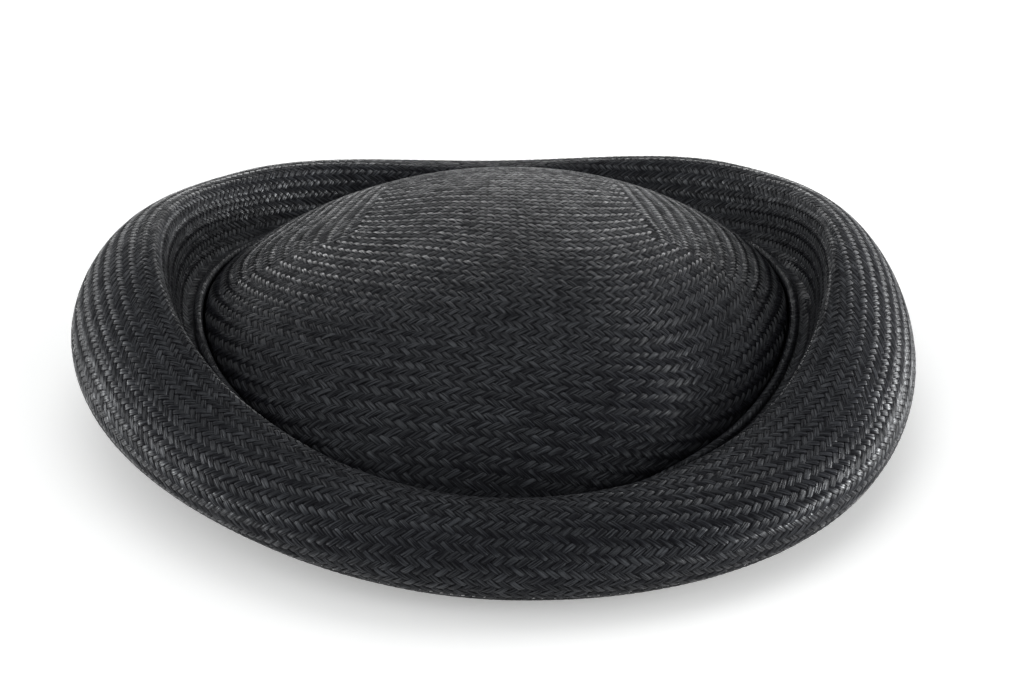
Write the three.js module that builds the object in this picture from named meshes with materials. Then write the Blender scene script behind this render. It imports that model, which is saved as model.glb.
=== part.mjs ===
// A low straw hat: an oval dome crown inside a hollow brim that is rolled up higher at the sides
// than at the front and back. Millimetres, +Z up, the front of the hat towards -Y.
import * as THREE from "three";

// The head opening is an oval, measured to the outside of the crown's wall at the rim.
const OVAL = { halfWidth: 69, halfDepth: 85, centreX: 1.5, centreY: 1.5 };
const STRAW_THICKNESS = 1.6;
const SEAT_GAP = 0.3;
const AZIMUTH_STEPS = 72;

// The crown: a wall that flares up to a shoulder just below the bead of the brim, then a dome whose top
// leans to the front and a little to the right. A low power makes the shoulder square, a high one round.
const CROWN = { flare: 2, shoulderDrop: 1.2, topHeight: 43, topForward: 12, topSide: 6 };
const DOME_POWER = { front: 0.66, back: 0.43, sides: 0.7 };
const CROWN_STEPS = { wall: 3, dome: 11 };

// The brim in section. Each size called out is a distance outwards from the head oval.
const UNDERSIDE_TURN = 14; // from the widest point back to where the turn of the underside starts
const FACE_POWER = 1.15; // above 1 the outer face is straighter and the crest tighter than an ellipse
const INNER_FACE_EASE = 0.5; // share of the inner face's width taken by the bend at each end
const BEAD = { out: 3.7, radius: 1.2, dipOut: 5.7, dipDrop: 1.6, startDeg: -20, endDeg: 270 };
const STEPS = { turn: 5, outerFace: 7, innerFace: 8, bead: 7 };

// One row for each section, by azimuth in degrees from the front towards +X. The crest is the fold along
// the top of the roll, the bulge is its widest point, the bead is the finished edge beside the crown, and
// the lift is the height of the underside where it starts to turn up.
const SECTIONS = [
  { az: 0, crestOut: 20, crestHeight: 25, bulgeOut: 32, bulgeHeight: 13, beadHeight: 14, lift: 1.5 },
  { az: 45, crestOut: 13.5, crestHeight: 24, bulgeOut: 37, bulgeHeight: 13.5, beadHeight: 18, lift: 0 },
  { az: 90, crestOut: 14, crestHeight: 38, bulgeOut: 32, bulgeHeight: 16.5, beadHeight: 24, lift: 2 },
  { az: 135, crestOut: 17.5, crestHeight: 28.5, bulgeOut: 30, bulgeHeight: 15, beadHeight: 18.5, lift: 2.5 },
  { az: 180, crestOut: 14, crestHeight: 18.5, bulgeOut: 29, bulgeHeight: 11, beadHeight: 14, lift: 2 },
  { az: 225, crestOut: 18.5, crestHeight: 29.5, bulgeOut: 34.5, bulgeHeight: 16, beadHeight: 19.5, lift: 3 },
  { az: 270, crestOut: 14, crestHeight: 41.5, bulgeOut: 35, bulgeHeight: 20.5, beadHeight: 26.5, lift: 5 },
  { az: 315, crestOut: 10.5, crestHeight: 30, bulgeOut: 30.5, bulgeHeight: 17, beadHeight: 22.5, lift: 6 },
];

const STRAW = { color: 0x27282b, roughness: 0.5, metalness: 0 };

// A point of the hat from its azimuth, its distance out from the head oval and its height.
function onOval(azimuth, out, height) {
  return new THREE.Vector3(
    OVAL.centreX + (OVAL.halfWidth + out) * Math.sin(azimuth),
    OVAL.centreY - (OVAL.halfDepth + out) * Math.cos(azimuth),
    height,
  );
}

// The brim's sizes at any azimuth, by a closed Catmull-Rom curve through the rows of SECTIONS.
function sectionAt(azimuth) {
  const count = SECTIONS.length;
  const place = (azimuth / (2 * Math.PI)) * count;
  const first = Math.floor(place);
  const t = place - first;
  const row = (step) => SECTIONS[(first + step + count) % count];
  const blend = (name) => {
    const [a, b, c, d] = [row(-1)[name], row(0)[name], row(1)[name], row(2)[name]];
    const square = 2 * a - 5 * b + 4 * c - d;
    const cube = 3 * b - a - 3 * c + d;
    return b + 0.5 * t * (c - a + t * (square + t * cube));
  };
  return {
    crestOut: blend("crestOut"),
    crestHeight: blend("crestHeight"),
    bulgeOut: blend("bulgeOut"),
    bulgeHeight: blend("bulgeHeight"),
    beadHeight: blend("beadHeight"),
    lift: Math.max(0, blend("lift")),
  };
}

// One skin of the brim, from the flat underside round the outer face and the crest to the dip beside
// the bead. The inner skin is the same path drawn in by the thickness of the straw.
function skinPath(section, inset) {
  const path = [];
  const turnOut = section.bulgeOut - UNDERSIDE_TURN;
  const bulgeOut = section.bulgeOut - inset;
  const crest = { out: section.crestOut + inset, height: section.crestHeight - inset };
  const dip = { out: BEAD.dipOut + inset, height: section.beadHeight - BEAD.dipDrop - inset };
  for (let i = 0; i <= STEPS.turn; i++) {
    const angle = (Math.PI / 2) * (i / STEPS.turn);
    const out = turnOut + (bulgeOut - turnOut) * Math.sin(angle);
    const height = section.bulgeHeight - (section.bulgeHeight - section.lift - inset) * Math.cos(angle);
    path.push({ out, height });
  }
  for (let i = 1; i <= STEPS.outerFace; i++) {
    const angle = (Math.PI / 2) * (i / STEPS.outerFace);
    const across = Math.max(0, Math.cos(angle)) ** FACE_POWER;
    const up = Math.sin(angle) ** FACE_POWER;
    path.push({
      out: crest.out + (bulgeOut - crest.out) * across,
      height: section.bulgeHeight + (crest.height - section.bulgeHeight) * up,
    });
  }
  const reach = (crest.out - dip.out) * INNER_FACE_EASE;
  const face = new THREE.CubicBezierCurve(
    new THREE.Vector2(crest.out, crest.height),
    new THREE.Vector2(crest.out - reach, crest.height),
    new THREE.Vector2(dip.out + reach, dip.height),
    new THREE.Vector2(dip.out, dip.height),
  );
  for (let i = 1; i <= STEPS.innerFace; i++) {
    const p = face.getPoint(i / STEPS.innerFace);
    path.push({ out: p.x, height: p.y });
  }
  return path;
}

// The rounded edge of the brim, over the top from the dip to the side that faces the crown.
function beadArc(section) {
  const arc = [];
  for (let i = 0; i <= STEPS.bead; i++) {
    const angle = THREE.MathUtils.degToRad(BEAD.startDeg + (BEAD.endDeg - BEAD.startDeg) * (i / STEPS.bead));
    arc.push({
      out: BEAD.out + BEAD.radius * Math.cos(angle),
      height: section.beadHeight - BEAD.radius + BEAD.radius * Math.sin(angle),
    });
  }
  return arc;
}

// The brim's whole section as a closed loop: outer skin, bead, inner skin and the foot by the crown.
function brimLoop(azimuth) {
  const section = sectionAt(azimuth);
  const loop = [
    { out: SEAT_GAP, height: 0 },
    ...skinPath(section, 0),
    ...beadArc(section),
    ...skinPath(section, STRAW_THICKNESS).reverse(),
    { out: SEAT_GAP, height: STRAW_THICKNESS },
  ];
  return loop.map((p) => onOval(azimuth, p.out, p.height));
}

// The crown's outer or inner skin at one azimuth, from just below the top of the dome to the rim.
function crownSkin(azimuth, inset) {
  const skin = [];
  for (let i = 1; i <= CROWN_STEPS.dome; i++) {
    const angle = (Math.PI / 2) * (i / CROWN_STEPS.dome);
    skin.push(domePoint(azimuth, Math.sin(angle), inset));
  }
  for (let i = CROWN_STEPS.wall - 1; i >= 0; i--) {
    const rise = i / CROWN_STEPS.wall;
    skin.push(onOval(azimuth, CROWN.flare * rise ** 3 - inset, shoulderHeight(azimuth) * rise));
  }
  return skin;
}

function shoulderHeight(azimuth) {
  return sectionAt(azimuth).beadHeight - CROWN.shoulderDrop;
}

// A point of the dome, by the share of the way from its top to the shoulder.
function domePoint(azimuth, share, inset) {
  const flat = Math.max(0, 1 - share * share);
  const low = shoulderHeight(azimuth);
  const end = Math.cos(azimuth) > 0 ? DOME_POWER.front : DOME_POWER.back;
  const power = end + (DOME_POWER.sides - end) * Math.sin(azimuth) ** 2;
  const point = onOval(azimuth, CROWN.flare - inset, low + (CROWN.topHeight - inset - low) * flat ** power);
  point.x = OVAL.centreX + (point.x - OVAL.centreX) * share + CROWN.topSide * flat;
  point.y = OVAL.centreY + (point.y - OVAL.centreY) * share - CROWN.topForward * flat;
  return point;
}

function azimuthOf(step) {
  return (2 * Math.PI * step) / AZIMUTH_STEPS;
}

// Two triangles between each pair of neighbouring points on neighbouring loops, all the way round.
function sweptFaces(loops, closeSection) {
  const faces = [];
  const size = loops[0].length;
  const last = closeSection ? size : size - 1;
  loops.forEach((_, i) => {
    const here = i * size;
    const next = ((i + 1) % loops.length) * size;
    for (let j = 0; j < last; j++) {
      const k = (j + 1) % size;
      faces.push(here + j, next + j, next + k, here + j, next + k, here + k);
    }
  });
  return faces;
}

function geometryOf(points, faces) {
  const geometry = new THREE.BufferGeometry().setFromPoints(points);
  geometry.setIndex(faces);
  geometry.computeVertexNormals();
  return geometry;
}

function brimGeometry() {
  const loops = Array.from({ length: AZIMUTH_STEPS }, (_, i) => brimLoop(azimuthOf(i)));
  return geometryOf(loops.flat(), sweptFaces(loops, true));
}

// The crown is a shell: its outer skin runs down to the rim and its inner skin back up, with a fan
// of triangles at the top of each.
function crownGeometry() {
  const loops = Array.from({ length: AZIMUTH_STEPS }, (_, i) => {
    const azimuth = azimuthOf(i);
    return [...crownSkin(azimuth, STRAW_THICKNESS), ...crownSkin(azimuth, 0).reverse()];
  });
  const points = loops.flat();
  const faces = sweptFaces(loops, false);
  const size = loops[0].length;
  const innerTop = points.push(domePoint(0, 0, STRAW_THICKNESS)) - 1;
  const outerTop = points.push(domePoint(0, 0, 0)) - 1;
  for (let i = 0; i < AZIMUTH_STEPS; i++) {
    const here = i * size;
    const next = ((i + 1) % AZIMUTH_STEPS) * size;
    faces.push(innerTop, next, here);
    faces.push(outerTop, here + size - 1, next + size - 1);
  }
  return geometryOf(points, faces);
}

function strawMesh(name, geometry) {
  const mesh = new THREE.Mesh(geometry, new THREE.MeshStandardMaterial(STRAW));
  mesh.name = name;
  return mesh;
}

const hat = new THREE.Group();
hat.add(strawMesh("crown", crownGeometry()));
hat.add(strawMesh("brim", brimGeometry()));

export default hat;
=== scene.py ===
"""A small black straw hat with a rolled brim, woven float by float over its two blocked shells.

Metres, +Z up, the front of the hat towards -Y.
"""

import logging
import math
from dataclasses import dataclass, field
from enum import Enum
from typing import NamedTuple, Protocol

import bpy
import numpy as np
from mathutils import Matrix, Vector


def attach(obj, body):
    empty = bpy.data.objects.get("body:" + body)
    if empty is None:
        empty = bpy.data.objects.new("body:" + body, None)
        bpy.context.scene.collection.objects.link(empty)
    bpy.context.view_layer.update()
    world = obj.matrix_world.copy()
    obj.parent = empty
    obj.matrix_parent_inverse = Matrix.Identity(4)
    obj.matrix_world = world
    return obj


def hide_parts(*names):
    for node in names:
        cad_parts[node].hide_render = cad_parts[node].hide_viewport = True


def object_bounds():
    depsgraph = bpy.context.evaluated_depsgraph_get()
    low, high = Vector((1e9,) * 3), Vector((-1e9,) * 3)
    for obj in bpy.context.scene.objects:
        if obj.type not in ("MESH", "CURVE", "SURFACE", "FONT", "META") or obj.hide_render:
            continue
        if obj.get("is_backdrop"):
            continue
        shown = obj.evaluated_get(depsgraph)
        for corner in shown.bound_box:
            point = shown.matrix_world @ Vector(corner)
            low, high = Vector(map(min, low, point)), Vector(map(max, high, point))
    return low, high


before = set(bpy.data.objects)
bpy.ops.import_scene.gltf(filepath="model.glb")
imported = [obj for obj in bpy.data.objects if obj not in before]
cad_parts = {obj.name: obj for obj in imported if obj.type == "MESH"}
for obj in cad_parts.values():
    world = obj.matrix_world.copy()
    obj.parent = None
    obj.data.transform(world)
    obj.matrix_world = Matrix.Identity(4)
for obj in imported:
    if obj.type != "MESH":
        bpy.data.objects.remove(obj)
CAD_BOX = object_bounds()

LOG = logging.getLogger("straw_hat")
MM = 0.001
SEED = 41
PHOTO_WIDTH, PHOTO_HEIGHT = 1022, 681
STRAW_IOR = 1.5
QUARTER_TURN = 0.25  # in whole turns
GRID_END = 1.001  # keeps the last place of a grid just inside it
NO_LENGTH = 1e-12

Array = np.ndarray
Pair = tuple[float, float]
Triple = tuple[float, float, float]
Link = bpy.types.Node | bpy.types.NodeSocket | float | tuple[float, ...]


def linear(hex_colour: str) -> tuple[float, float, float, float]:
    """Turns an sRGB hex colour into linear light.

    Args:
        hex_colour: The colour as "#rrggbb".

    Returns:
        Linear red, green, blue and an alpha of 1.
    """
    parts = [int(hex_colour[k : k + 2], 16) / 255 for k in (1, 3, 5)]
    lit = [c / 12.92 if c <= 0.04045 else ((c + 0.055) / 1.055) ** 2.4 for c in parts]
    return (lit[0], lit[1], lit[2], 1.0)


def add_node(
    tree: bpy.types.NodeTree, kind: str, settings: dict[str, object] | None = None, **inputs: Link
) -> bpy.types.Node:
    """Adds one node, sets it and links it.

    Args:
        tree: The node tree that gets the node.
        kind: The node's type name.
        settings: Attributes of the node itself.
        **inputs: Input sockets by name, with _ for a space, or by _ and a number. Each is a constant,
            the socket that feeds it or a node whose first output does.

    Returns:
        The new node.
    """
    made = tree.nodes.new(kind)
    for name, value in (settings or {}).items():
        setattr(made, name, value)
    for name, value in inputs.items():
        socket = made.inputs[int(name[1:]) if name[1:].isdigit() else name.replace("_", " ")]
        if isinstance(value, bpy.types.Node):
            value = value.outputs[0]
        if isinstance(value, bpy.types.NodeSocket):
            tree.links.new(value, socket)
        else:
            socket.default_value = value
    return made


def unit(vectors: Array) -> Array:
    """Vectors along the last axis, scaled to length 1."""
    return vectors / np.maximum(np.linalg.norm(vectors, axis=-1, keepdims=True), NO_LENGTH)


def smooth_curve(values: Array, share: Array) -> Array:
    """A smooth open curve through equally spaced values.

    Args:
        values: What the curve passes through.
        share: Places on it, from 0 at the first value to 1 at the last.

    Returns:
        The curve's values.
    """
    padded = np.concatenate([[2 * values[0] - values[1]], values, [2 * values[-1] - values[-2]]])
    place = share * (len(values) - 1)
    first = np.minimum(place.astype(int), len(values) - 2)
    return through(*(padded[first + k] for k in range(4)), place - first)


def through(a: Array, b: Array, c: Array, d: Array, t: Array) -> Array:
    """A Catmull-Rom curve between b and c, with a before them and d after them."""
    return b + 0.5 * t * (c - a + t * (2 * a - 5 * b + 4 * c - d + t * (3 * b - a - 3 * c + d)))


def distances(lines: Array) -> Array:
    """How far each point of a line lies from the line's start, measured along it."""
    steps = np.linalg.norm(np.diff(lines, axis=1), axis=-1)
    return np.concatenate([np.zeros((len(lines), 1)), steps.cumsum(axis=1)], axis=1)


def relaid(lines: Array, known: Array, wanted: Array) -> Array:
    """Lines of points, moved from the known places along them to the wanted ones."""
    laid = [[np.interp(w, k, part) for part in line.T] for w, k, line in zip(wanted, known, lines)]
    return np.array(laid).transpose(0, 2, 1)


def round_value(values: Array, column: Array) -> Array:
    """Numbers between those of columns that go all the way round."""
    return np.interp(column, np.arange(len(values) + 1), np.append(values, values[0]))


@dataclass
class RoundGrid:
    """A skin as a grid of points, by column and row, whose columns go all the way round."""

    points: Array
    row_way: Array = field(init=False)
    normals: Array = field(init=False)

    def __post_init__(self) -> None:
        """Works out the normals."""
        round_way = np.roll(self.points, -1, axis=0) - np.roll(self.points, 1, axis=0)
        self.row_way = np.gradient(self.points, axis=1)
        self.normals = unit(np.cross(self.row_way, round_way))

    def at(self, column: Array, row: Array) -> tuple[Array, Array]:
        """Points and outward normals between those of the grid.

        Args:
            column: Places across the columns, from 0 to their number.
            row: Places along them, in rows.

        Returns:
            Points and outward normals.
        """
        count, size = self.points.shape[:2]
        row = np.clip(row, 0, size - GRID_END)
        r, c = row.astype(int), column.astype(int)
        fr, fc = (row - r)[..., None], (column - c)[..., None]
        c, d = c % count, (c + 1) % count
        weights = ((1 - fr) * (1 - fc), (1 - fr) * fc, fr * (1 - fc), fr * fc)
        corners = ((c, r), (d, r), (c, r + 1), (d, r + 1))
        place = sum(w * self.points[corner] for w, corner in zip(weights, corners))
        normal = sum(w * self.normals[corner] for w, corner in zip(weights, corners))
        return place, unit(normal)


class Section(NamedTuple):
    """The roll of the brim at an azimuth in degrees from the front towards +X. Millimetres."""

    azimuth: float
    crest_out: float
    crest_height: float
    bulge_out: float
    bulge_height: float
    bead_height: float
    lift: float


SECTIONS = (
    Section(0, 20, 25, 32, 13, 14, 1.5),
    Section(45, 13.5, 24, 37, 13.5, 18, 0),
    Section(90, 14, 38, 32, 16.5, 24, 2),
    Section(135, 17.5, 28.5, 30, 15, 18.5, 2.5),
    Section(180, 14, 18.5, 29, 11, 14, 2),
    Section(225, 18.5, 29.5, 34.5, 16, 19.5, 3),
    Section(270, 14, 41.5, 35, 20.5, 26.5, 5),
    Section(315, 10.5, 30, 30.5, 17, 22.5, 6),
)


@dataclass(frozen=True)
class HeadOval:
    """The oval of the head opening, outside the crown's wall."""

    half_width: float = 69 * MM
    half_depth: float = 85 * MM
    centre_x: float = 1.5 * MM
    centre_y: float = 1.5 * MM

    def at(self, azimuth: Array, out: Array, height: Array) -> Array:
        """Points of the hat.

        Args:
            azimuth: Angle from the front towards +X, in radians.
            out: Distance outwards from the oval.
            height: Height above the rim.

        Returns:
            Points, with x, y and z on the last axis.
        """
        x = self.centre_x + (self.half_width + out) * np.sin(azimuth)
        y = self.centre_y - (self.half_depth + out) * np.cos(azimuth)
        return np.stack(np.broadcast_arrays(x, y, height), axis=-1)

    def pace(self, azimuth: Array, out: Array) -> Array:
        """Metres along a line parallel to the oval, for each radian of azimuth."""
        wide, deep = self.half_width + out, self.half_depth + out
        return np.hypot(wide * np.cos(azimuth), deep * np.sin(azimuth))


@dataclass(frozen=True)
class BrimForm:
    """The rolled brim's shape, as blocked."""

    oval: HeadOval = HeadOval()
    thickness: float = 1.6 * MM
    seat_gap: float = 0.3 * MM
    underside_turn: float = 14 * MM
    face_power: float = 1.15
    inner_ease: float = 0.5
    bead_out: float = 3.7 * MM
    bead_radius: float = 1.2 * MM
    least_bead: float = 0.3 * MM
    bead_arc: Pair = (205.0, -20.0)  # degrees, over the top from the crown's side
    dip_out: float = 5.7 * MM
    dip_drop: float = 1.6 * MM
    more_turn_steps: int = 4

    def sizes(self, azimuth: Array) -> dict[str, Array]:
        """The sizes of Section at any azimuth, on a closed smooth curve through the rows.

        Args:
            azimuth: Angles in radians.

        Returns:
            One array for each size, in metres.
        """
        count = len(SECTIONS)
        place = azimuth / math.tau * count
        first = np.floor(place).astype(int)
        t = place - first
        found = {}
        for name in Section._fields[1:]:
            rows = np.array([getattr(s, name) for s in SECTIONS]) * MM
            found[name] = through(*(rows[(first + k) % count] for k in (-1, 0, 1, 2)), t)
        found["lift"] = np.maximum(found["lift"], 0)
        return found

    def skin(self, azimuth: Array, inset: float, fineness: int) -> tuple[Array, Array]:
        """One skin of the brim, from the crown's side of the bead over the crest and round to the foot.

        Args:
            azimuth: Angles in radians, one for each section.
            inset: How far the skin lies inside the outer face of the straw.
            fineness: Steps along the longest parts of the path.

        Returns:
            The distance out from the oval and the height, with a row for each azimuth.
        """
        s = {k: v[:, None] for k, v in self.sizes(azimuth).items()}
        bead = np.radians(np.linspace(*self.bead_arc, fineness // 2))[None]
        ease = np.linspace(0, 1, fineness)[None, 1:]
        fall = np.radians(np.linspace(90, 0, fineness))[None, 1:]
        turn = np.radians(np.linspace(90, 0, fineness // 2 + self.more_turn_steps))[None, 1:]
        under = np.linspace(0, 1, fineness // 2)[None, 1:]

        small = max(self.bead_radius - inset, self.least_bead)
        bead_out = self.bead_out + small * np.cos(bead) + 0 * s["lift"]
        bead_height = s["bead_height"] - self.bead_radius + small * np.sin(bead)

        crest_out = s["crest_out"] + inset
        crest_height = s["crest_height"] - inset
        dip_out = self.dip_out + inset
        dip_height = s["bead_height"] - self.dip_drop - inset
        reach = (crest_out - dip_out) * self.inner_ease
        w0, w1, w2, w3 = (1 - ease) ** 3, 3 * ease * (1 - ease) ** 2, 3 * ease**2 * (1 - ease), ease**3
        face_out = w0 * dip_out + w1 * (dip_out + reach) + w2 * (crest_out - reach) + w3 * crest_out
        face_height = (w0 + w1) * dip_height + (w2 + w3) * crest_height

        bulge_out = s["bulge_out"] - inset
        across = np.maximum(np.cos(fall), 0) ** self.face_power
        up = np.sin(fall) ** self.face_power
        outer_out = crest_out + (bulge_out - crest_out) * across
        outer_height = s["bulge_height"] + (crest_height - s["bulge_height"]) * up

        turn_out = s["bulge_out"] - self.underside_turn
        low = s["lift"] + inset
        round_out = turn_out + (bulge_out - turn_out) * np.sin(turn)
        round_height = s["bulge_height"] - (s["bulge_height"] - low) * np.cos(turn)
        flat_out = turn_out + (self.seat_gap - turn_out) * under
        flat_height = low + (inset - low) * under
        outs = (bead_out, face_out, outer_out, round_out, flat_out)
        heights = (bead_height, face_height, outer_height, round_height, flat_height)
        return np.concatenate(outs, axis=1), np.concatenate(heights, axis=1)


@dataclass(frozen=True)
class CrownForm:
    """The crown's dome and flared wall, as blocked. The shoulder follows the bead of the brim."""

    brim: BrimForm = BrimForm()
    thickness: float = 1.6 * MM
    flare: float = 2 * MM
    shoulder_drop: float = 1.2 * MM
    top_height: float = 43 * MM
    top_forward: float = 12 * MM
    top_side: float = 6 * MM
    front_power: float = 0.66
    back_power: float = 0.43
    side_power: float = 0.7
    wall_steps: int = 4

    def shoulder(self, azimuth: Array) -> Array:
        """Height of the shoulder, where the dome starts."""
        return self.brim.sizes(azimuth)["bead_height"] - self.shoulder_drop

    def rise(self, azimuth: Array, flat: Array, inset: float) -> Array:
        """Height of the dome.

        Args:
            azimuth: Angle from the front towards +X, in radians.
            flat: 1 at the top of the dome, 0 at the shoulder.
            inset: How far the skin lies inside the outer face of the straw.

        Returns:
            Height above the rim.
        """
        low = self.shoulder(azimuth)
        ends = np.where(np.cos(azimuth) > 0, self.front_power, self.back_power)
        power = ends + (self.side_power - ends) * np.sin(azimuth) ** 2
        return low + (self.top_height - inset - low) * np.maximum(flat, 0) ** power

    def dome(self, x: Array, y: Array) -> Array:
        """The outer skin of the dome at places in plan.

        Args:
            x: Distance from the oval's centre towards +X.
            y: Distance from the oval's centre towards +Y.

        Returns:
            Points with x, y and z on the last axis, as measured from the oval's centre.
        """
        wide, deep = self.brim.oval.half_width + self.flare, self.brim.oval.half_depth + self.flare
        side, lean = self.top_side, self.top_forward
        a = (side / wide) ** 2 + (lean / deep) ** 2
        b = 2 * (x - side) * side / wide**2 - 2 * (y + lean) * lean / deep**2 - 1
        c = ((x - side) / wide) ** 2 + ((y + lean) / deep) ** 2
        flat = np.clip(1 + (b + np.sqrt(np.maximum(b * b - 4 * a * c, 0))) / (2 * a), 0, 1)
        azimuth = np.mod(np.arctan2((x - side * flat) / wide, -(y + lean * flat) / deep), math.tau)
        return np.stack([x, y, self.rise(azimuth, flat, 0.0)], axis=-1)

    def wall(self, azimuth: Array, share: Array, inset: float) -> Array:
        """Points of the wall, by the share of the way from the rim to the shoulder."""
        out = self.flare * share**3 - inset
        return self.brim.oval.at(azimuth, out, self.shoulder(azimuth) * share)

    def skin(self, azimuth: Array, inset: float, fineness: int) -> Array:
        """One skin of the crown from just below its top to the rim.

        Args:
            azimuth: Angles in radians.
            inset: How far the skin lies inside the outer face of the straw.
            fineness: Steps from the top to the shoulder.

        Returns:
            Points with a row for each azimuth.
        """
        share = np.sin(np.linspace(0, math.pi / 2, fineness + 1))[None, 1:]
        flat = 1 - share * share
        az = azimuth[:, None]
        edge = self.brim.oval.at(az, np.array(self.flare - inset), self.rise(az, flat, inset))
        middle = np.array([self.brim.oval.centre_x, self.brim.oval.centre_y])
        top = np.array([self.top_side, -self.top_forward])
        edge[..., :2] = middle + (edge[..., :2] - middle) * share[..., None] + top * flat[..., None]
        share = np.linspace(1, 0, self.wall_steps + 1)[None, 1:]
        return np.concatenate([edge, self.wall(az, share, inset)], axis=1)

    def top(self, inset: float) -> Array:
        """The highest point of one skin of the dome."""
        x, y = self.brim.oval.centre_x + self.top_side, self.brim.oval.centre_y - self.top_forward
        return np.array([x, y, self.top_height - inset])


class Surface(Protocol):
    """A woven surface that is known by the numbers of its crossings."""

    def at(self, lattice: Array) -> tuple[Array, Array]:
        """Points and outward normals at places of the lattice."""


@dataclass
class BrimRows:
    """The brim's weave: rows that run round the hat, all with the same number of floats.

    They drift outwards from the front and back to the sides, as a hood blocked to an oval has them.
    """

    form: BrimForm
    rounds: int = 272
    row_share: float = 0.4
    drift_rows: float = 16.0
    drift_turn: float = math.radians(-15)
    columns: int = 768
    row_step: float = 0.25
    fineness: int = 48
    turn_steps: int = 2880
    usual_out: float = 20 * MM
    least_step: float = 1e-9
    foot_rows: float = 0.5
    grid: RoundGrid = field(init=False)
    bounds: list[Array] = field(init=False)

    def __post_init__(self) -> None:
        """Lays the rows along each section, each as far from the last as the floats' spacing asks."""
        oval, fine = self.form.oval, self.fineness
        turn = np.linspace(0, math.tau, self.turn_steps + 1)
        steps = oval.pace((turn[1:] + turn[:-1]) / 2, self.usual_out)
        walked = np.concatenate([[0], np.cumsum(steps)])
        azimuth = np.interp(np.arange(self.columns) / self.columns * walked[-1], walked, turn)
        out, height = self.form.skin(azimuth, 0.0, fine)
        path = oval.at(azimuth[:, None], out, height)
        speed = np.interp(azimuth, turn, walked[-1] / oval.pace(turn, self.usual_out))
        speed = speed * (turn[1] - turn[0])
        spacing = oval.pace(azimuth[:, None], out) * speed[:, None] / self.rounds
        length = np.linalg.norm(np.diff(path, axis=1), axis=-1)
        rows = length / (self.row_share * (spacing[:, 1:] + spacing[:, :-1]) / 2)
        first_row = self.drift_rows * (1 + np.cos(2 * (azimuth - self.drift_turn))) / 2
        rows = np.cumsum(np.concatenate([first_row[:, None], rows], axis=1), axis=1)
        crest = fine // 2 + fine - 2
        # The rows at the bead, the crest, the bulge, the turn of the underside and the foot.
        self.bounds = [rows[:, k] for k in (0, crest, crest + fine // 2, crest + fine + fine // 3, -1)]
        wanted = np.arange(0, self.bounds[-1].max() + 1, self.row_step)
        self.bounds[-1] = self.bounds[-1] - self.foot_rows
        self.grid = RoundGrid(relaid(path, rows, np.tile(wanted, (self.columns, 1))))
        # Past its last row a section stands still, so the normal there is the underside's.
        still = np.linalg.norm(self.grid.row_way, axis=-1) < self.least_step
        self.grid.normals[still] = (0, 0, -1)

    def at(self, lattice: Array) -> tuple[Array, Array]:
        """Points and normals on the brim.

        Args:
            lattice: Row number and half steps round the hat on the last axis.

        Returns:
            Points and outward normals.
        """
        return self.grid.at(self.column(lattice[..., 1]), lattice[..., 0] / self.row_step)

    def column(self, half_steps: Array) -> Array:
        """Places round the hat, counted in columns."""
        return np.mod(half_steps / (2 * self.rounds), 1) * self.columns

    def floats(self, low: Array, high: Array) -> Array:
        """The floats whose middles lie between two lines round the brim.

        Args:
            low: The first row, for each column.
            high: The row to stop at, for each column.

        Returns:
            A row for each float: row, half steps, a quarter of 0 and its lean.
        """
        found = []
        for row in range(0, int(self.bounds[-1].max()) + 1, 2):
            lean = 1 if row % 4 == 0 else -1
            steps = np.arange(0, 2 * self.rounds, 2) + 0.5 * lean
            column = self.column(steps)
            inside = (row + 0.5 >= round_value(low, column)) & (row + 0.5 < round_value(high, column))
            found += [(row + 0.5, step, 0, lean) for step in steps[inside]]
        return np.array(found)


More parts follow.
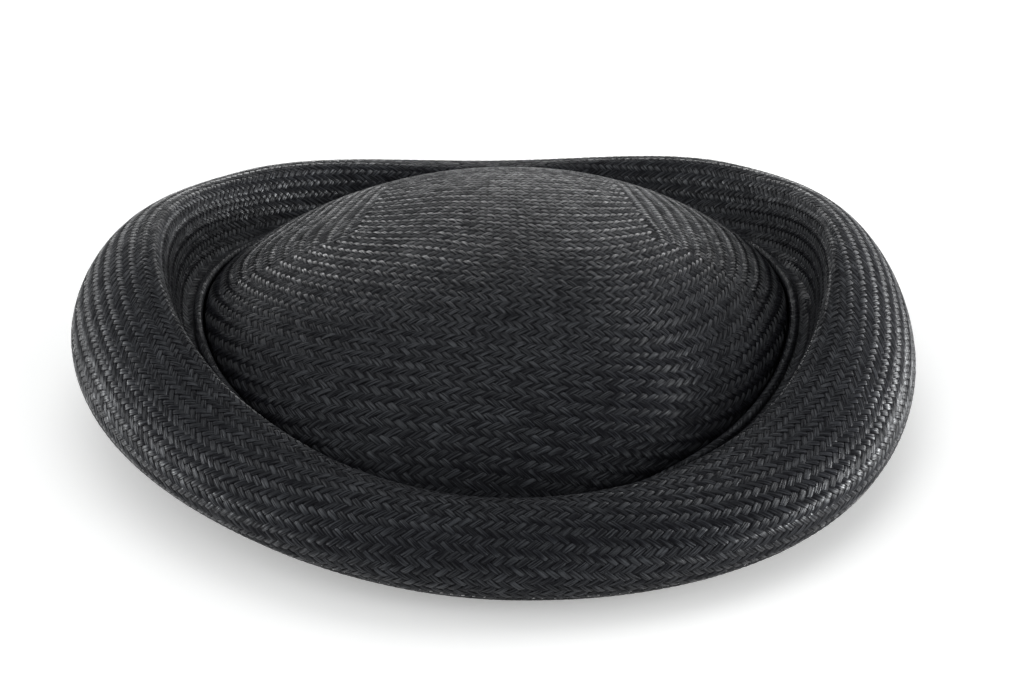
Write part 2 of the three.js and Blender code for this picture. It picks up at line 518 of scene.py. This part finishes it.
@dataclass
class DomeMap:
    """The crown's outer skin, by direction and by distance over the straw from its weave's middle."""

    form: CrownForm
    middle: Pair = (4.5 * MM, 24 * MM)
    lowest: float = 0.3
    angles: int = 720
    step: float = 0.25 * MM
    reach: float = 150 * MM
    dome_steps: int = 400
    crowding: float = 2.4
    wall_steps: int = 60
    middle_steps: int = 3
    grid: RoundGrid = field(init=False)
    ends: Array = field(init=False)

    def __post_init__(self) -> None:
        """Measures the dome and its wall along lines that spread from the middle of the weave."""
        angle = np.linspace(0, math.tau, self.angles, endpoint=False)[:, None]
        oval = self.form.brim.oval
        wide, deep = oval.half_width + self.form.flare, oval.half_depth + self.form.flare
        a = (np.sin(angle) / wide) ** 2 + (np.cos(angle) / deep) ** 2
        b = 2 * (self.middle[0] * np.sin(angle) / wide**2 - self.middle[1] * np.cos(angle) / deep**2)
        c = (self.middle[0] / wide) ** 2 + (self.middle[1] / deep) ** 2 - 1
        edge = (-b + np.sqrt(b * b - 4 * a * c)) / (2 * a)
        t = edge * (1 - (1 - np.linspace(0, 1, self.dome_steps))[None] ** self.crowding)
        dome = self.form.dome(self.middle[0] + t * np.sin(angle), self.middle[1] - t * np.cos(angle))
        azimuth = np.mod(np.arctan2(dome[:, -1, 0] / wide, -dome[:, -1, 1] / deep), math.tau)
        down = np.linspace(1, self.lowest, self.wall_steps)[None, 1:]
        wall = self.form.wall(azimuth[:, None], down, 0.0)
        line = np.concatenate([dome + np.array([oval.centre_x, oval.centre_y, 0]), wall], axis=1)
        walked = distances(line)
        self.ends = walked[:, -1]
        wanted = np.arange(0, self.reach, self.step)
        self.grid = RoundGrid(relaid(line, walked, np.tile(wanted, (self.angles, 1))))
        normals = self.grid.normals
        normals[:, : self.middle_steps] = unit(normals[:, self.middle_steps].mean(0))

    def at(self, flat: Array) -> tuple[Array, Array]:
        """Points and normals on the crown.

        Args:
            flat: Places on the weave as if it lay flat round its middle, with x and y on the last axis.

        Returns:
            Points and outward normals.
        """
        return self.grid.at(self.column(flat), np.hypot(flat[..., 0], flat[..., 1]) / self.step)

    def column(self, flat: Array) -> Array:
        """The direction of places on the flat weave, counted in the map's columns."""
        return np.mod(np.arctan2(flat[..., 0], -flat[..., 1]) / math.tau, 1) * self.angles

    def left_over(self, flat: Array) -> Array:
        """How far places on the flat weave lie above its lower end."""
        return round_value(self.ends, self.column(flat)) - np.hypot(flat[..., 0], flat[..., 1])


class Quarter(NamedTuple):
    """One quarter of the crown's weave, between two corners where its rows meet the next quarter's.

    Angles in degrees from the front towards +X. The distances of its first row and of a later row from
    the middle are in millimetres, at equal steps of angle, as is the spacing of the rows after that.
    The columns are counted along the first row, the later row and the last one.
    """

    start: float
    end: float
    first: tuple[float, ...]
    later: tuple[float, ...]
    spacing: tuple[float, ...]
    columns: tuple[int, int, int]


QUARTERS = (
    Quarter(
        start=-70.5, end=57, first=(42, 31.9, 33.7, 41, 43), later=(73.1, 72.9, 74.2, 81.7, 70),
        spacing=(0.96, 1.05, 1.05, 1, 0.9), columns=(38, 71, 84),
    ),
    Quarter(
        start=57, end=137, first=(43, 34.5, 32.1, 33.9, 41), later=(70, 64, 62, 63.6, 70.7),
        spacing=(0.9, 0.9, 0.9, 0.9, 0.9), columns=(26, 40, 48),
    ),
    Quarter(
        start=137, end=226, first=(41, 32.1, 30, 32.8, 43.1), later=(70.7, 65, 63, 66, 72.8),
        spacing=(0.9, 1, 1, 1, 0.9), columns=(34, 55, 70),
    ),
    Quarter(
        start=226, end=289.5, first=(43.1, 38, 36.4, 37.7, 42), later=(72.8, 66, 64.5, 70, 73.1),
        spacing=(0.9, 0.9, 0.9, 0.95, 0.96), columns=(22, 36, 44),
    ),
)


@dataclass
class CrownRows:
    """The crown's weave: a plain panel at its top, then four quarters whose rows meet in corners."""

    dome: DomeMap
    later_row: int = 33
    last_row: int = 92
    panel_rows: int = 48
    panel_back: tuple[Pair, Pair] = ((-31, 30), (28, 30))
    shares: int = 96
    angle_steps: int = 160
    corner_overlap: float = 0.2
    least_left: float = 1 * MM
    laid: list[Array] = field(init=False)

    def __post_init__(self) -> None:
        """Lays out every row of the quarters, with its places equally spaced over the dome."""
        share = np.linspace(0, 1, self.angle_steps + 1)
        row = np.arange(self.last_row + 1)[:, None]
        self.laid = []
        for q in QUARTERS:
            angle = np.radians(q.start + (q.end - q.start) * share)
            known = (q.first, q.later, q.spacing)
            first, later, spacing = (smooth_curve(np.array(values), share) for values in known)
            near = first + (later - first) * np.minimum(row, self.later_row) / self.later_row
            distance = (near + spacing * np.maximum(row - self.later_row, 0)) * MM
            flat = distance[..., None] * np.stack([np.sin(angle), -np.cos(angle)], axis=-1)
            walked = distances(self.dome.at(flat)[0])
            even = np.linspace(0, 1, self.shares + 1) * walked[:, -1:]
            self.laid.append(relaid(flat, walked, even))

    def flat(self, lattice: Array) -> Array:
        """Places on the weave as if it lay flat.

        Args:
            lattice: Row, half steps from the quarter's middle and the quarter's number on the last axis.

        Returns:
            Places with x and y on the last axis.
        """
        row, step, quarter = (lattice[..., k] for k in range(3))
        found = np.zeros(lattice.shape[:-1] + (2,))
        for number, (q, laid) in enumerate(zip(QUARTERS, self.laid)):
            here = np.rint(quarter) == number
            columns = np.interp(row[here], (0, self.later_row, self.last_row), q.columns)
            share = (0.5 + step[here] / (2 * columns)) * self.shares
            level = np.clip(row[here], None if number else 0, self.last_row)
            r = np.clip(level.astype(int), 0, self.last_row - 1)
            c = np.clip(share.astype(int), 0, self.shares - 1)
            fr, fc = (level - r)[:, None], (share - c)[:, None]
            upper = laid[r, c] * (1 - fc) + laid[r, c + 1] * fc
            lower = laid[r + 1, c] * (1 - fc) + laid[r + 1, c + 1] * fc
            place = upper * (1 - fr) + lower * fr
            if number == 0:
                deep = np.clip(-row[here] / self.panel_rows, 0, 1)[:, None]
                back = np.array(self.panel_back) * MM
                rear = back[0] + (back[1] - back[0]) * share[:, None] / self.shares
                place = place * (1 - deep) + rear * deep
            found[here] = place
        return found

    def at(self, lattice: Array) -> tuple[Array, Array]:
        """Points and outward normals at places of the lattice."""
        return self.dome.at(self.flat(lattice))

    def floats(self, first_lean: int) -> Array:
        """The floats that lie on the crown.

        Args:
            first_lean: 1 for the weave's outside, -1 for its inside, where the other straws lie on top.

        Returns:
            A row for each float: row, half steps, quarter and its lean.
        """
        found = []
        for number, q in enumerate(QUARTERS):
            for row in range(0 if number else -self.panel_rows, self.last_row, 2):
                lean = first_lean if row % 4 == 0 else -first_lean
                most = np.interp(row + 0.5, (0, self.later_row, self.last_row), q.columns)
                steps = np.arange(-2 * int(most / 2), most, 2) + 0.5 * lean
                steps = steps[np.abs(steps) < most + self.corner_overlap]
                found += [(row + 0.5, step, number, lean) for step in steps]
        made = np.array(found)
        return made[self.dome.left_over(self.flat(made[:, :3])) > self.least_left]


@dataclass(frozen=True)
class Twill:
    """How flat straw lies in the weave: each float bows up, and dips under others at both ends."""

    width_share: float = 0.92
    widths: Pair = (0.94, 1.04)
    sway: float = 0.03
    rise_share: float = 0.06
    most_rise: float = 0.16 * MM
    rises: Pair = (0.88, 1.1)
    edge_drop: float = 0.06 * MM
    drop_share: float = 0.12
    dip: float = 0.22
    level: float = -0.13 * MM
    lowest: float = 0.02 * MM
    free_bend: float = math.radians(20)
    full_bend: float = math.radians(70)
    least_calm: float = 0.25
    most_shift: float = 500.0  # millimetres over the fibres, so that no two straws are alike
    along_steps: int = 6
    across_steps: int = 3

    def weave(
        self, name: str, surface: Surface, floats: Array, side: float, depth: float
    ) -> bpy.types.Object:
        """Makes one joined mesh of floats.

        Args:
            name: The piece's name.
            surface: Where the floats lie.
            floats: The floats to make, as the surface gives them.
            side: 1 for the outside of the straw and -1 for its inside.
            depth: How far inside the surface the straw's face lies.

        Returns:
            The new object.
        """
        count = len(floats)
        each = (count, 1, 1)
        rng = np.random.default_rng(SEED + count)
        u = np.linspace(-1 - self.dip, 1 + self.dip, self.along_steps + 1)[None, :, None]
        v = np.linspace(-1, 1, self.across_steps + 1)[None, None, :]
        swayed = v + rng.normal(0, self.sway, each) * u
        wide = swayed * self.width_share * rng.uniform(*self.widths, each)
        centre, lean = floats[:, None, None, :3], floats[:, None, None, 3]
        whole, none = np.ones_like(lean), np.zeros_like(lean)
        along = np.stack([whole, lean, none], axis=-1)
        across = np.stack([whole, -lean, none], axis=-1) / 2
        places = centre + u[..., None] * along + wide[..., None] * across
        points, normals = surface.at(places)
        length, width = (
            np.linalg.norm(surface.at(centre + half)[0] - surface.at(centre - half)[0], axis=-1)
            for half in (along, across)
        )
        bend = np.arccos(np.clip(np.sum(normals[:, 0, 1] * normals[:, -1, 1], axis=-1), -1, 1))
        calm = np.clip(1 - (bend - self.free_bend) / self.full_bend, self.least_calm, 1)[:, None, None]
        rise = np.minimum(length * self.rise_share, self.most_rise) * rng.uniform(*self.rises, each)
        drop = np.minimum(self.edge_drop, width * self.drop_share)
        lift = calm * (self.level + rise * (1 - np.abs(u) ** 3) - drop * v**2)
        vertices = points + normals * (side * lift - depth)[..., None]
        vertices[..., 2] = np.maximum(vertices[..., 2], self.lowest)

        rows, lines = self.along_steps, self.across_steps
        first = np.arange(rows)[:, None] * (lines + 1) + np.arange(lines)[None]
        after = first + lines + 1
        quad = np.stack([first, first + 1, after + 1, after], axis=-1).reshape(-1, 4)
        size = (rows + 1) * (lines + 1)
        faces = (np.arange(count)[:, None, None] * size + quad[None]).reshape(-1, 4)
        lengthwise = u * length / 2 / MM + rng.uniform(0, self.most_shift, each)
        crosswise = v * width / 2 / MM + rng.uniform(0, self.most_shift, each)
        flat = np.stack(np.broadcast_arrays(lengthwise, crosswise), axis=-1)
        corners = vertices.reshape(-1, 3)
        made = new_mesh(name, corners, orient(corners, faces, normals.reshape(-1, 3) * side))
        layer = made.data.uv_layers.new(name="straw_mm")
        order = np.empty(len(made.data.loops), dtype=np.int32)
        made.data.loops.foreach_get("vertex_index", order)
        layer.uv.foreach_set("vector", flat.reshape(-1, 2)[order].astype(np.float32).ravel())
        marks = {
            "tone": rng.uniform(0, 1, each),
            "edge": np.maximum(np.abs(v), np.abs(u) - self.dip),
        # The edge mark is 0 in a float's middle and 1 at its rim; the straw's material paints the shade
        # of the gaps between floats from it.
        }
        for label, values in marks.items():
            mark = made.data.attributes.new(label, "FLOAT", "POINT")
            spread = np.broadcast_to(values, (count, rows + 1, lines + 1))
            mark.data.foreach_set("value", spread.astype(np.float32).ravel())
        return made


def orient(vertices: Array, faces: Array, normals: Array) -> Array:
    """Turns the faces that look against their normals.

    Args:
        vertices: Places of the corners.
        faces: Corner numbers, four to a face.
        normals: The wanted normal at each corner.

    Returns:
        The faces, all looking the right way.
    """
    a, b, c, d = (vertices[faces[:, k]] for k in range(4))
    wrong = np.einsum("ij,ij->i", np.cross(c - a, d - b), normals[faces[:, 0]]) < 0
    turned = faces.copy()
    turned[wrong] = turned[wrong][:, ::-1]
    return turned


def new_mesh(name: str, vertices: Array, faces: Array) -> bpy.types.Object:
    """Makes a smooth mesh object of four-sided faces.

    Args:
        name: The object's name.
        vertices: Places of the corners, in metres.
        faces: Corner numbers, four to a face.

    Returns:
        The new object, in the scene.
    """
    mesh = bpy.data.meshes.new(name)
    mesh.vertices.add(len(vertices))
    mesh.vertices.foreach_set("co", vertices.astype(np.float32).ravel())
    mesh.loops.add(faces.size)
    mesh.loops.foreach_set("vertex_index", faces.astype(np.int32).ravel())
    mesh.polygons.add(len(faces))
    mesh.polygons.foreach_set("loop_start", np.arange(0, faces.size, 4, dtype=np.int32))
    mesh.update(calc_edges=True)
    mesh.shade_smooth()
    made = bpy.data.objects.new(name, mesh)
    bpy.context.scene.collection.objects.link(made)
    return made


def swept(loops: Array, close: bool) -> Array:
    """Faces between neighbouring loops, all the way round.

    Args:
        loops: Points with a loop on each row.
        close: True if each loop joins its last point to its first.

    Returns:
        Corner numbers, four to a face.
    """
    count, size = loops.shape[:2]
    steps = np.arange(size if close else size - 1)
    here = np.arange(count)[:, None] * size
    after = (np.arange(count)[:, None] + 1) % count * size
    near = (steps + 1) % size
    return np.stack([here + steps, after + steps, after + near, here + near], axis=-1).reshape(-1, 4)


class Sheen(Enum):
    """How much the straw's stiffening still shines, as a roughness."""

    DULL = 0.75
    SATIN = 0.45


def blank_material(name: str) -> tuple[bpy.types.Material, bpy.types.NodeTree]:
    """Makes a material without nodes.

    Args:
        name: The real material's name.

    Returns:
        The material and its empty node tree.
    """
    made = bpy.data.materials.new(name)
    made.use_nodes = True
    made.node_tree.nodes.clear()
    return made, made.node_tree


@dataclass(frozen=True)
class DyedStraw:
    """Flat natural straw, split, dyed black and woven.

    The skin of the stalk is smooth and faintly waxy, so each float has a soft shine along its bow. The
    fibres run along it as fine lines, and the dye takes a little unevenly from one straw to the next.
    """

    name: str = "split_straw_dyed_black_woven"
    dark: str = "#131316"
    light: str = "#222327"
    gleam: str = "#f5fbff"
    sheen: Sheen = Sheen.SATIN
    fibre_mm: float = 0.42  # drawn three or four times as coarse as the real fibres, so that they show
    streak_mm: float = 5.0
    line_depth: float = 0.16 * MM
    grain: float = 0.9
    line_range: Pair = (0.32, 0.68)
    # Where a float's edge darkens, in colour and in shine, as painted shade of the gaps between floats.
    gap_shade_range: Pair = (0.74, 1.0)
    gap_shade_share: float = 0.35  # painted shade of the gaps between floats: what is left of colour and shine at a float's edge
    shine: Pair = (0.06, 0.36)
    rougher: float = 0.12
    smoother: float = 0.1

    def material(self) -> bpy.types.Material:
        """The finish as a material.

        Returns:
            A material that reads each float's own lengthwise and crosswise millimetres, and paints the
            shade of the gaps between floats onto each float's edges.
        """
        made, tree = blank_material(self.name)
        along = add_node(tree, "ShaderNodeUVMap", {"uv_map": "straw_mm"})
        stretch = (1 / self.streak_mm, 1 / self.fibre_mm, 1.0)
        fibre = add_node(tree, "ShaderNodeMapping", Vector=along, Scale=stretch)
        noise = add_node(
            tree, "ShaderNodeTexNoise", {"noise_dimensions": "2D"},
            Vector=fibre, Scale=1.0, Detail=1.0, Roughness=0.5,
        )
        lines = add_node(
            tree, "ShaderNodeMapRange", {"interpolation_type": "SMOOTHSTEP"},
            Value=noise, From_Min=self.line_range[0], From_Max=self.line_range[1],
        )
        tone = add_node(tree, "ShaderNodeAttribute", {"attribute_name": "tone"}).outputs["Fac"]
        edge = add_node(tree, "ShaderNodeAttribute", {"attribute_name": "edge"}).outputs["Fac"]
        # Painted shade: colour and shine fall off towards each float's edge, standing in for the shadow
        # in the gaps between floats.
        inside = add_node(
            tree, "ShaderNodeMapRange", {"interpolation_type": "SMOOTHSTEP"}, Value=edge,
            From_Min=self.gap_shade_range[0], From_Max=self.gap_shade_range[1], To_Min=1.0, To_Max=self.gap_shade_share,
        )
        # The fibre lines, which are the straw's own grain, times the painted shade of the gaps at the
        # float's edges.
        fibres_and_gap_shade = add_node(tree, "ShaderNodeMath", {"operation": "MULTIPLY"}, _0=inside, _1=lines)
        own = add_node(tree, "ShaderNodeMath", {"operation": "MULTIPLY"}, _0=fibres_and_gap_shade, _1=tone)
        colour = add_node(tree, "ShaderNodeValToRGB", Fac=own)
        colour.color_ramp.elements[0].color = linear(self.dark)
        colour.color_ramp.elements[1].color = linear(self.light)
        shine = add_node(
            tree, "ShaderNodeMapRange", Value=fibres_and_gap_shade, To_Min=self.shine[0], To_Max=self.shine[1]
        )
        rough = add_node(
            tree, "ShaderNodeMapRange", Value=tone,
            To_Min=self.sheen.value + self.rougher, To_Max=self.sheen.value - self.smoother,
        )
        bump = add_node(tree, "ShaderNodeBump", Height=noise, Strength=1.0, Distance=self.line_depth)
        by_map = {"direction_type": "UV_MAP", "uv_map": "straw_mm"}
        lengthwise = add_node(tree, "ShaderNodeTangent", by_map)
        shader = add_node(
            tree, "ShaderNodeBsdfPrincipled", Base_Color=colour, IOR=STRAW_IOR, Roughness=rough,
            Specular_IOR_Level=shine, Specular_Tint=linear(self.gleam), Normal=bump,
            Tangent=lengthwise, Anisotropic=self.grain, Anisotropic_Rotation=QUARTER_TURN,
        )
        add_node(tree, "ShaderNodeOutputMaterial", Surface=shader)
        return made


@dataclass(frozen=True)
class StrawGround:
    """The same dyed straw where it runs under the floats: rough, unlit and nearly without shine."""

    name: str = "split_straw_dyed_black_underneath"
    dark: str = "#141416"
    light: str = "#1e1e21"
    sheen: Sheen = Sheen.DULL
    shine: float = 0.35
    grain_mm: float = 0.8
    grain_depth: float = 0.15 * MM
    grain_strength: float = 0.8

    def material(self) -> bpy.types.Material:
        """The finish as a material.

        Returns:
            A material with a fine grain in its colour and its relief.
        """
        made, tree = blank_material(self.name)
        place = add_node(tree, "ShaderNodeTexCoord")
        grain = add_node(
            tree, "ShaderNodeTexNoise", Vector=place.outputs["Object"],
            Scale=1 / (self.grain_mm * MM), Detail=3.0,
        )
        colour = add_node(tree, "ShaderNodeValToRGB", Fac=grain)
        colour.color_ramp.elements[0].color = linear(self.dark)
        colour.color_ramp.elements[1].color = linear(self.light)
        bump = add_node(
            tree, "ShaderNodeBump", Height=grain, Strength=self.grain_strength, Distance=self.grain_depth
        )
        shader = add_node(
            tree, "ShaderNodeBsdfPrincipled", Base_Color=colour, IOR=STRAW_IOR,
            Roughness=self.sheen.value, Specular_IOR_Level=self.shine, Normal=bump,
        )
        add_node(tree, "ShaderNodeOutputMaterial", Surface=shader)
        return made


@dataclass(frozen=True)
class OpalTable:
    """Matt opal acrylic, cast in a sheet and lit a little from below: even white, soft shadows."""

    name: str = "acrylic_opal_cast_matt"
    white: str = "#f9f9f8"
    shade: str = "#f5f5f4"
    cloud_mm: float = 40.0
    glow: float = 0.3
    roughness: float = 0.8
    ior: float = 1.49

    def material(self) -> bpy.types.Material:
        """The finish as a material.

        Returns:
            A material whose white is a little clouded.
        """
        made, tree = blank_material(self.name)
        place = add_node(tree, "ShaderNodeTexCoord")
        cloud = add_node(
            tree, "ShaderNodeTexNoise", Vector=place.outputs["Object"],
            Scale=1 / (self.cloud_mm * MM), Detail=2.0,
        )
        colour = add_node(tree, "ShaderNodeValToRGB", Fac=cloud)
        colour.color_ramp.elements[0].color = linear(self.shade)
        colour.color_ramp.elements[1].color = linear(self.white)
        shader = add_node(
            tree, "ShaderNodeBsdfPrincipled", Base_Color=colour, Roughness=self.roughness, IOR=self.ior,
            Emission_Color=linear(self.white), Emission_Strength=self.glow,
        )
        add_node(tree, "ShaderNodeOutputMaterial", Surface=shader)
        return made


@dataclass
class Crown:
    """The dome and wall of the hat, woven outside and inside."""

    form: CrownForm
    straw: bpy.types.Material
    ground: bpy.types.Material
    wall_depth: float = 0.55 * MM
    around: int = 192
    fineness: int = 36

    def wall(self) -> bpy.types.Object:
        """Builds the closed shell that the floats lie on.

        Returns:
            The shell.
        """
        azimuth = np.linspace(0, math.tau, self.around, endpoint=False)
        inside = self.form.skin(azimuth, self.form.thickness - self.wall_depth, self.fineness)
        outside = self.form.skin(azimuth, self.wall_depth, self.fineness)
        loops = np.concatenate([inside, outside[:, ::-1]], axis=1)
        faces = swept(loops, close=False)
        size, count = loops.shape[1], self.around
        tops = [self.form.top(self.form.thickness - self.wall_depth), self.form.top(self.wall_depth)]
        points = np.concatenate([loops.reshape(-1, 3), tops])
        here = np.arange(0, count, 2) * size
        middle = here + size
        after = (np.arange(0, count, 2) + 2) % count * size
        inner_top, outer_top = (np.full(count // 2, len(points) - k) for k in (2, 1))
        fans = [
            np.stack([inner_top, after, middle, here], axis=1),
            np.stack([outer_top, here + size - 1, middle + size - 1, after + size - 1], axis=1),
        ]
        return new_mesh("crown_wall", points, np.concatenate([faces, *fans]))

    def build(self) -> list[bpy.types.Object]:
        """Builds and dresses the crown.

        Returns:
            The shell and the weave of its outside and inside.
        """
        wall = self.wall()
        wall.data.materials.append(self.ground)
        rows = CrownRows(DomeMap(self.form))
        outside = Twill(along_steps=4).weave("crown_weave", rows, rows.floats(1), 1.0, 0.0)
        inside = Twill(along_steps=3, across_steps=2).weave(
            "crown_weave_inside", rows, rows.floats(-1), -1.0, self.form.thickness
        )
        for weave in (outside, inside):
            weave.data.materials.append(self.straw)
        for piece in (wall, outside, inside):
            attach(piece, "root")
            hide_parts("crown")
        return [wall, outside, inside]


@dataclass
class Brim:
    """The rolled brim, woven on every face that shows."""

    form: BrimForm
    straw: bpy.types.Material
    ground: bpy.types.Material
    wall_depth: float = 0.55 * MM
    around: int = 288
    fineness: int = 24

    def wall(self) -> bpy.types.Object:
        """Builds the closed shell that the floats lie on.

        Returns:
            The shell.
        """
        azimuth = np.linspace(0, math.tau, self.around, endpoint=False)
        skins = []
        for inset in (self.wall_depth, self.form.thickness):
            out, height = self.form.skin(azimuth, inset, self.fineness)
            skins.append(self.form.oval.at(azimuth[:, None], out, height))
        loops = np.concatenate([skins[0], skins[1][:, ::-1]], axis=1)
        return new_mesh("brim_wall", loops.reshape(-1, 3), swept(loops, close=True)[:, ::-1])

    def build(self) -> list[bpy.types.Object]:
        """Builds and dresses the brim.

        Returns:
            The shell and its weave, in four bands from bead to foot.
        """
        wall = self.wall()
        wall.data.materials.append(self.ground)
        rows = BrimRows(self.form)
        twill = Twill()
        bands = ("brim_weave_inside", "brim_weave_outside", "brim_weave_roll", "brim_weave_underside")
        made = [wall]
        for name, low, high in zip(bands, rows.bounds, rows.bounds[1:]):
            piece = twill.weave(name, rows, rows.floats(low, high), 1.0, 0.0)
            piece.data.materials.append(self.straw)
            made.append(piece)
        for piece in made:
            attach(piece, "root")
            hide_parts("brim")
        return made


class Softbox(NamedTuple):
    """A soft light. Metres, watts, and the point that it faces."""

    name: str
    place: Triple
    size: Pair
    power: float
    facing: Triple


class Panel(NamedTuple):
    """A soft white panel of the room, as seen from the hat.

    Degrees: its azimuth from the front towards +X, its height and the half angle that it fades out at.
    Its light is the brightness of its middle.
    """

    azimuth: float
    height: float
    reach: float
    light: float

    def way(self) -> Triple:
        """The direction of its middle."""
        turn, rise = math.radians(self.azimuth), math.radians(self.height)
        return (math.sin(turn) * math.cos(rise), -math.cos(turn) * math.cos(rise), math.sin(rise))


@dataclass
class Studio:
    """The white table, the room's soft panels, the softboxes and the camera."""

    table: bpy.types.Material
    floor_size: float = 6.0
    room_white: str = "#f4f5f6"
    room_light: float = 0.04
    panel_core: float = 0.4
    target: Triple = (1.5 * MM, 1.5 * MM, 22 * MM)
    distance: float = 0.85
    elevation: float = 25.0
    roll: float = -1.4
    focal_pixels: float = 3468.0
    sensor_mm: float = 36.0
    principal: Pair = (496.2, 308.9)
    panels: tuple[Panel, ...] = (
        Panel(180, 70, 32, 1.6),
        Panel(180, 45, 42, 0.3),
        Panel(0, 45, 42, 0.3),
        Panel(120, 45, 42, 0.2),
        Panel(300, 45, 42, 1.15),
        Panel(45, 8, 35, 3.5),
        Panel(135, 8, 35, 1.0),
        Panel(225, 8, 35, 1.0),
        Panel(270, 8, 35, 1.6),
    )
    lights: tuple[Softbox, ...] = (
        Softbox("right_strip", (1.2, 0.25, 0.06), (0.9, 0.1), 28.0, (0.0, 0.0, 0.01)),
        Softbox("left_strip", (-1.2, 0.25, 0.06), (0.9, 0.1), 9.0, (0.0, 0.0, 0.01)),
        Softbox("back_softbox", (0.0, 1.6, 0.24), (1.1, 0.3), 4.6, (0.0, 0.0, 0.04)),
    )

    def floor(self) -> None:
        """Builds the table, a sheet with its edges out of sight."""
        square = np.array([(-0.5, -0.5, 0), (0.5, -0.5, 0), (0.5, 0.5, 0), (-0.5, 0.5, 0)])
        made = new_mesh("table_sheet", self.floor_size * square, np.array([[0, 1, 2, 3]]))
        made.data.materials.append(self.table)
        made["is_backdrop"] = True

    def light(self) -> None:
        """Builds the soft lights and the pale room round them."""
        for box in self.lights:
            data = bpy.data.lights.new(box.name, "AREA")
            data.shape = "RECTANGLE"
            data.size, data.size_y = box.size
            data.energy = box.power
            lamp = bpy.data.objects.new(box.name, data)
            lamp.location = box.place
            way = Vector(box.facing) - Vector(box.place)
            lamp.rotation_euler = way.to_track_quat("-Z", "Y").to_euler()
            bpy.context.scene.collection.objects.link(lamp)
        world = bpy.data.worlds.new("pale_room")
        world.use_nodes = True
        tree = world.node_tree
        tree.nodes.clear()
        way = add_node(tree, "ShaderNodeTexCoord").outputs["Generated"]
        level = self.room_light
        for panel in self.panels:
            near = add_node(
                tree, "ShaderNodeVectorMath", {"operation": "DOT_PRODUCT"}, _0=way, _1=panel.way()
            ).outputs["Value"]
            edge, core = math.radians(panel.reach), math.radians(panel.reach * self.panel_core)
            lit = add_node(
                tree, "ShaderNodeMapRange", {"interpolation_type": "SMOOTHSTEP"},
                Value=near, From_Min=math.cos(edge), From_Max=math.cos(core), To_Max=panel.light,
            )
            level = add_node(tree, "ShaderNodeMath", {"operation": "ADD"}, _0=level, _1=lit)
        shade = add_node(tree, "ShaderNodeBackground", Color=linear(self.room_white), Strength=level)
        add_node(tree, "ShaderNodeOutputWorld", Surface=shade)
        bpy.context.scene.world = world

    def camera(self) -> None:
        """Builds the camera at the photograph's angle."""
        data = bpy.data.cameras.new("camera")
        data.sensor_fit = "HORIZONTAL"
        data.sensor_width = self.sensor_mm
        data.lens = self.focal_pixels / PHOTO_WIDTH * data.sensor_width
        data.shift_x = (PHOTO_WIDTH / 2 - self.principal[0]) / PHOTO_WIDTH
        data.shift_y = (self.principal[1] - PHOTO_HEIGHT / 2) / PHOTO_WIDTH
        made = bpy.data.objects.new("camera", data)
        rise = math.radians(self.elevation)
        back = Vector((0.0, -math.cos(rise), math.sin(rise)))
        level = (-back).to_track_quat("-Z", "Y").to_matrix()
        turn = level @ Matrix.Rotation(math.radians(self.roll), 3, "Z")
        place = Vector(self.target) + back * self.distance
        made.matrix_world = Matrix.Translation(place) @ turn.to_4x4()
        bpy.context.scene.collection.objects.link(made)
        bpy.context.scene.camera = made

    def build(self) -> None:
        """Sets up the whole studio."""
        self.floor()
        self.light()
        self.camera()
        bpy.context.scene.view_settings.view_transform = "Standard"


def main() -> None:
    """Builds the hat and its studio."""
    logging.basicConfig(level=logging.INFO, format="%(name)s: %(message)s")
    straw = DyedStraw().material()
    ground = StrawGround().material()
    brim = BrimForm()
    pieces = Crown(CrownForm(brim), straw, ground).build() + Brim(brim, straw, ground).build()
    Studio(OpalTable().material()).build()
    bpy.context.view_layer.update()
    for piece in pieces:
        LOG.info("%s: %d faces", piece.name, len(piece.data.polygons))
    boxes = {"cad": CAD_BOX, "visual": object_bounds()}
    {name: [list(corner) for corner in box] for name, box in boxes.items()}


if __name__ == "__main__":
    main()
